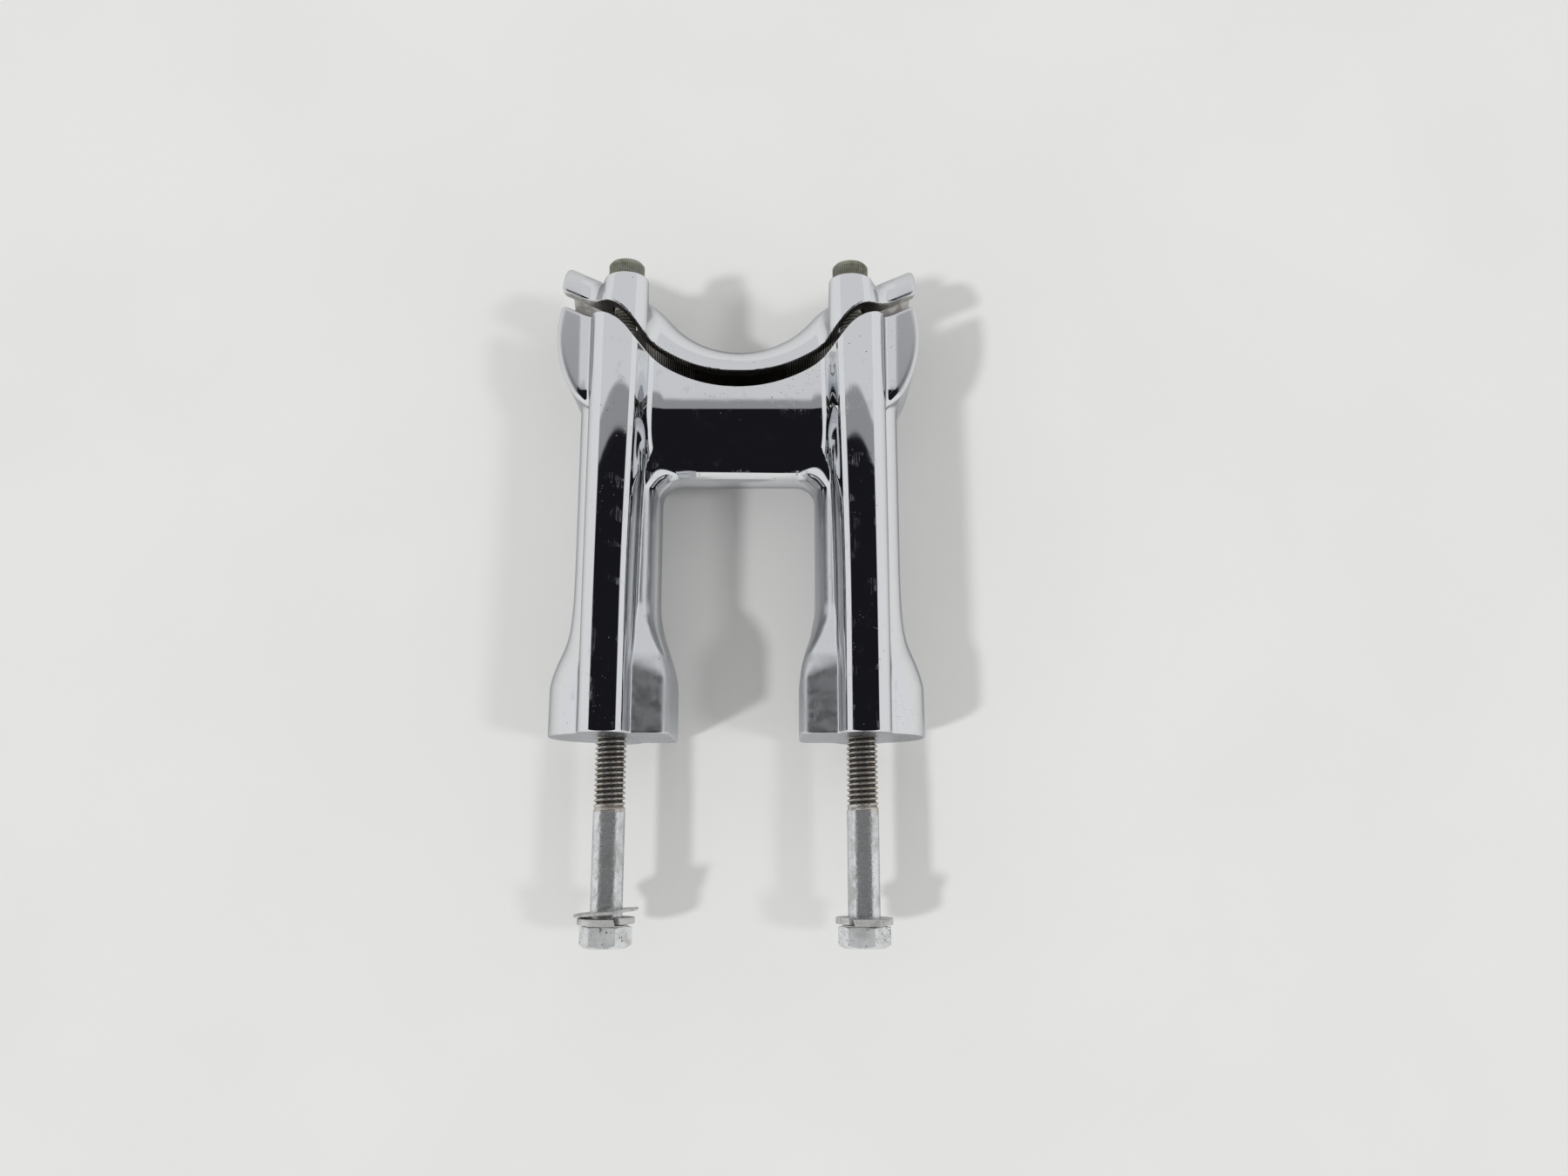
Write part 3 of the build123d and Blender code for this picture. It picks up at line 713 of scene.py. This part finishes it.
def start_material(name):
    m = bpy.data.materials.new(name)
    m.use_nodes = True
    m.node_tree.nodes.clear()
    n = Nodes(m.node_tree)
    out = n.add("ShaderNodeOutputMaterial")
    bsdf = n.add("ShaderNodeBsdfPrincipled")
    n.link(bsdf.outputs[0], out.inputs[0])
    place = n.add("ShaderNodeTexCoord").outputs["Object"]
    return m, n, bsdf, place


def scratches(n, place, scale, turn, width):
    """Thin long lines at one slant, broken up along their length."""
    lines = n.noise(n.stretch(place, scale, turn), 1.0, 1.0, 0.4)
    gate = n.noise(place, 160.0, 2.0)
    near = n.math("SUBTRACT", 1.0, n.ramp(n.math("ABSOLUTE", n.math("SUBTRACT", lines, 0.5)), 0.0, width))
    return n.times(near, n.ramp(gate, 0.54, 0.66))


def raw_colour(n, place, out, along):
    """Dark unplated metal in the bore, with fine ticks across the bend and painted light making it paler at
    the arms' ends.
    """
    cast = n.mix(n.noise(place, 400.0, 4.0, 0.7), (0.09, 0.085, 0.08, 1), (0.23, 0.21, 0.19, 1))
    ticks = n.math("SINE", n.times(along, 2 * math.pi / TICK))
    band = n.times(n.ramp(out, 0.017, 0.019), n.ramp(out, 0.038, 0.036))
    cast = n.mix(n.times(n.ramp(ticks, 0.1, 0.8), band), cast, (0.85, 0.83, 0.80, 1))
    # paler towards the arms' ends, patchy by noise: painted light
    ends = n.times(n.ramp(out, 0.049, 0.056), n.ramp(n.noise(place, 300.0, 3.0), 0.35, 0.6, 0.35, 0.8))
    return n.mix(ends, cast, (0.72, 0.70, 0.67, 1))


def satin(n, place, rough, out, height):
    """Rougher foot pads, inner flanks and lobes, in place of grey surroundings that they would mirror."""
    legs, feet = LEG_X / 1000, DY / 1000
    pads = n.times(n.ramp(out, legs - 0.0088, legs - 0.0098), n.ramp(height, feet + 0.031, feet + 0.026))
    rough = n.plus(rough, n.times(pads, n.ramp(n.noise(place, 260.0, 4.0, 0.6), 0.3, 0.7, 0.3, 0.48)))
    flanks = n.times(n.ramp(out, legs - 0.0096, legs - 0.0106), n.ramp(height, feet + 0.092, feet + 0.084))
    lobes = n.times(n.ramp(out, legs + 0.0125, legs + 0.0145), n.ramp(height, feet + 0.118, feet + 0.124))
    return n.most(rough, n.most(n.times(flanks, 0.24), n.times(lobes, 0.42)))


def chrome_material():
    """Mirror chrome with pits and scratches, painted shade in its hollows, raw in the bore, turned on the
    feet.
    """
    m, n, bsdf, place = start_material("worn_chrome")
    hollow, edge, raw, face = (n.attribute(word) for word in ("hollow", "edge", "raw", "face"))
    split = n.add("ShaderNodeSeparateXYZ")
    n.link(place, split.inputs[0])
    along, height = split.outputs[0], split.outputs[1]
    out = n.math("ABSOLUTE", along)
    pits = n.times(n.dots(place, 900.0, 0.16, 0.06), n.ramp(n.noise(place, 60.0, 3.0, 0.6), 0.55, 0.68))
    spots = n.times(n.dots(place, 330.0, 0.09, 0.03), n.ramp(n.noise(place, 35.0, 2.0), 0.5, 0.6))
    flaws = n.most(pits, spots)
    # darker where a point lies deep in a hollow, patchy by noise: painted shade
    hollow_shade = n.times(n.ramp(hollow, 0.45, 0.95), n.ramp(n.noise(place, 220.0, 4.0, 0.7), 0.4, 0.65))
    dark = n.most(flaws, n.times(hollow_shade, 0.55))
    rings = n.math("SINE", n.times(n.attribute("ring"), RING_RATE))
    turned = n.times(face, n.ramp(rings, 0.2, 1.0, 0.12, 0.34))
    # pits and spots darken the chrome towards this brown, and so does the painted shade in the hollows
    colour = n.mix(dark, (0.84, 0.855, 0.875, 1), (0.12, 0.10, 0.085, 1))
    colour = n.mix(turned, colour, (0.36, 0.36, 0.37, 1))
    n.link(n.mix(raw, colour, raw_colour(n, place, out, along)), bsdf.inputs["Base Color"])
    lines = scratches(n, place, (1700.0, 60.0, 60.0), (0, 0, 0.12), 0.012)
    lines2 = scratches(n, place, (1500.0, 90.0, 60.0), (0, 0, -0.5), 0.009)
    marks = n.most(lines, n.times(lines2, 0.7))
    haze = n.ramp(n.noise(place, 45.0, 5.0, 0.65), 0.42, 0.75, 0.0, 0.025)
    rough = n.plus(0.02, haze, n.times(marks, 0.22), n.times(dark, 0.4))
    rough = n.plus(rough, n.times(n.ramp(edge, 0.5, 0.95), 0.05), n.times(raw, 0.4), n.times(face, 0.25))
    n.link(satin(n, place, rough, out, height), bsdf.inputs["Roughness"])
    bsdf.inputs["Metallic"].default_value = 1.0
    bsdf.inputs["Specular Tint"].default_value = (0.55, 0.56, 0.58, 1)
    dents = n.math("SUBTRACT", n.times(flaws, -1.0), n.times(marks, 0.25))
    dents = n.plus(dents, n.times(n.times(rings, face), 0.3))
    wave = n.bump(n.noise(place, 55.0, 2.0, 0.5), 0.02, 0.0006)
    n.link(n.bump(dents, 0.25, 0.00012, wave), bsdf.inputs["Normal"])
    return m


def steel_material(name, metal, clean, dirt, thread, rough_low, rough_high, grain, bump):
    """Mottled plated steel, dull on the threads, with painted shade darkening the roots of threads and knurls,
    and speckled on the heads.
    """
    m, n, bsdf, place = start_material(name)
    head = n.attribute("head")
    blotch = n.noise(place, 160.0, 5.0, 0.7, 0.4)
    fine = n.noise(place, grain, 3.0, 0.6)
    specks = n.times(n.dots(place, 1100.0, 0.22, 0.1), n.ramp(n.noise(place, 120.0, 2.0), 0.42, 0.58))
    spots = n.times(n.dots(place, 620.0, 0.3, 0.16), n.ramp(n.noise(place, 240.0, 3.0), 0.44, 0.58))
    worn = n.most(n.ramp(blotch, 0.42, 0.68), specks)
    colour = n.mix(worn, clean, dirt)
    colour = n.mix(n.times(specks, 0.7), colour, (0.16, 0.15, 0.14, 1))
    colour = n.mix(n.times(spots, head), colour, (0.2, 0.19, 0.17, 1))
    colour = n.mix(n.times(n.attribute("threaded"), n.ramp(blotch, 0.3, 0.6, 0.35, 0.9)), colour, thread)
    # darker the deeper a point lies in a thread's or a knurl's groove: painted shade
    colour = n.mix(n.ramp(n.attribute("root"), 0.25, 0.95, 0.0, 0.85), colour, (0.035, 0.03, 0.028, 1))
    n.link(colour, bsdf.inputs["Base Color"])
    n.link(n.math("SUBTRACT", metal, n.times(head, 0.38)), bsdf.inputs["Metallic"])
    bsdf.inputs["Specular Tint"].default_value = (0.4, 0.4, 0.4, 1)
    rough = n.plus(n.ramp(fine, 0.3, 0.7, rough_low, rough_high), n.times(worn, 0.15))
    n.link(rough, bsdf.inputs["Roughness"])
    dents = n.plus(n.times(fine, 0.6), n.times(worn, -0.7))
    n.link(n.bump(dents, bump, 0.00015), bsdf.inputs["Normal"])
    return m


chrome = chrome_material()
zinc = steel_material("mottled_zinc", 0.82, (0.86, 0.88, 0.90, 1), (0.60, 0.61, 0.60, 1),
                      (0.66, 0.60, 0.53, 1), 0.18, 0.30, 1100.0, 0.6)
screw_steel = steel_material("weathered_screw", 0.75, (0.34, 0.35, 0.29, 1), (0.20, 0.20, 0.15, 1),
                             (0.62, 0.60, 0.55, 1), 0.35, 0.55, 900.0, 0.5)
washer_steel = steel_material("dull_washer", 0.4, (0.68, 0.68, 0.67, 1), (0.42, 0.41, 0.39, 1),
                              (0.3, 0.3, 0.3, 1), 0.3, 0.5, 900.0, 0.6)
riser.data.materials.append(chrome)
cap.data.materials.append(chrome)
finishes = {"bolt": zinc, "screw": screw_steel, "spring": washer_steel, "thin": washer_steel}
for ob in hardware:
    ob.data.materials.append(finishes[ob.name.split("_")[0]])

# ---------------------------------------------------------------- floor, light and camera
TABLE = 3.0  # metres from the object to the table's edges
DEGREES = 57.2958  # in a radian
BLACK, WHITE = (0.003, 0.003, 0.006, 1), (0.985, 0.985, 1.0, 1)
CAMERA_ACROSS, CAMERA_BELOW_FEET, CAMERA_HEIGHT = 0.0168, 0.035, 0.420  # metres; height over the bolts' axes
CAMERA_TILT, CAMERA_LENS = math.radians(12.05), 27.04

floor_mesh = bpy.data.meshes.new("table_top")
corners = [(-TABLE, -TABLE, 0), (TABLE, -TABLE, 0), (TABLE, TABLE, 0), (-TABLE, TABLE, 0)]
floor_mesh.from_pydata(corners, [], [(0, 1, 2, 3)])
table_top = bpy.data.objects.new("table_top", floor_mesh)
bpy.context.scene.collection.objects.link(table_top)
m, n, bsdf, place = start_material("pale_table")
cloud = n.noise(place, 9.0, 3.0, 0.5)
pale = n.mix(n.ramp(cloud, 0.3, 0.7), (0.85, 0.85, 0.84, 1), (0.87, 0.87, 0.86, 1))
n.link(pale, bsdf.inputs["Base Color"])
bsdf.inputs["Roughness"].default_value = 0.9
bsdf.inputs["Specular IOR Level"].default_value = 0.1
n.link(n.bump(n.noise(place, 500.0, 2.0), 0.05, 0.0002), bsdf.inputs["Normal"])
floor_mesh.materials.append(m)


def room_light():
    """Plain soft light on everything, and a simple studio that only reflections show.

    The studio is bright ahead, past the clamp, and to both sides. It is dark overhead and over the bolts' end.
    The dark part ends at angles, in degrees, ahead of and to the sides of straight up. They were chosen by
    comparing renders with the photograph, so that the chrome's dark bands fall about where they do there.
    """
    world = bpy.data.worlds.new("room")
    bpy.context.scene.world = world
    world.use_nodes = True
    world.node_tree.nodes.clear()
    n = Nodes(world.node_tree)
    out = n.add("ShaderNodeOutputWorld")
    way = n.add("ShaderNodeTexCoord").outputs["Generated"]
    split = n.add("ShaderNodeSeparateXYZ")
    n.link(way, split.inputs[0])
    x, y, z = split.outputs
    upright = n.math("SQRT", n.plus(n.times(z, z), n.times(n.times(x, x), 0.86)))
    ahead = n.times(n.math("ARCTAN2", y, upright), DEGREES)
    aside = n.times(n.math("ABSOLUTE", n.math("ARCTAN2", x, z)), DEGREES)
    aside = n.plus(aside, n.ramp(n.times(ahead, -1.0), 0.0, 40.0, 0.0, 6.0))
    level = n.plus(0.006, n.times(n.ramp(ahead, 19.1, 19.5), 0.28), n.times(n.ramp(ahead, 21.3, 21.8), 0.36))
    level = n.most(level, n.times(n.ramp(aside, 58.0, 63.0), 0.75))
    mirror = n.add("ShaderNodeBackground")
    n.link(n.mix(level, BLACK, WHITE), mirror.inputs[0])
    soft = n.add("ShaderNodeBackground")
    soft.inputs[0].default_value = (1.0, 1.0, 0.985, 1)
    soft.inputs[1].default_value = 0.57
    path = n.add("ShaderNodeLightPath")
    pick = n.add("ShaderNodeMixShader")
    n.link(path.outputs["Is Glossy Ray"], pick.inputs[0])
    n.link(soft.outputs[0], pick.inputs[1])
    n.link(mirror.outputs[0], pick.inputs[2])
    n.link(pick.outputs[0], out.inputs[0])


def soft_sun(name, way, width, power):
    """Soft distant lamp shining from way; the chrome mirrors the room and not the lamp."""
    data = bpy.data.lights.new(name, "SUN")
    data.angle = width
    data.energy = power
    ob = bpy.data.objects.new(name, data)
    ob.rotation_euler = Vector(way).to_track_quat("Z", "Y").to_euler()
    ob.visible_glossy = False
    bpy.context.scene.collection.objects.link(ob)


room_light()
soft_sun("lamp_left", (-0.72, -0.38, 1.0), 0.09, 0.92)
soft_sun("lamp_right", (0.85, -0.2, 1.0), 0.14, 0.42)

camera_data = bpy.data.cameras.new("camera")
camera_data.sensor_width = 36.0
camera_data.lens = CAMERA_LENS
camera_data.clip_start = 0.01
camera = bpy.data.objects.new("camera", camera_data)
camera.location = (CAMERA_ACROSS, DY / 1000 - CAMERA_BELOW_FEET, CAMERA_HEIGHT + CREST / 1000)
camera.rotation_euler = (CAMERA_TILT, 0, 0)
bpy.context.scene.collection.objects.link(camera)
bpy.context.scene.camera = camera
bpy.context.scene.view_settings.view_transform = "Standard"

bpy.context.view_layer.update()
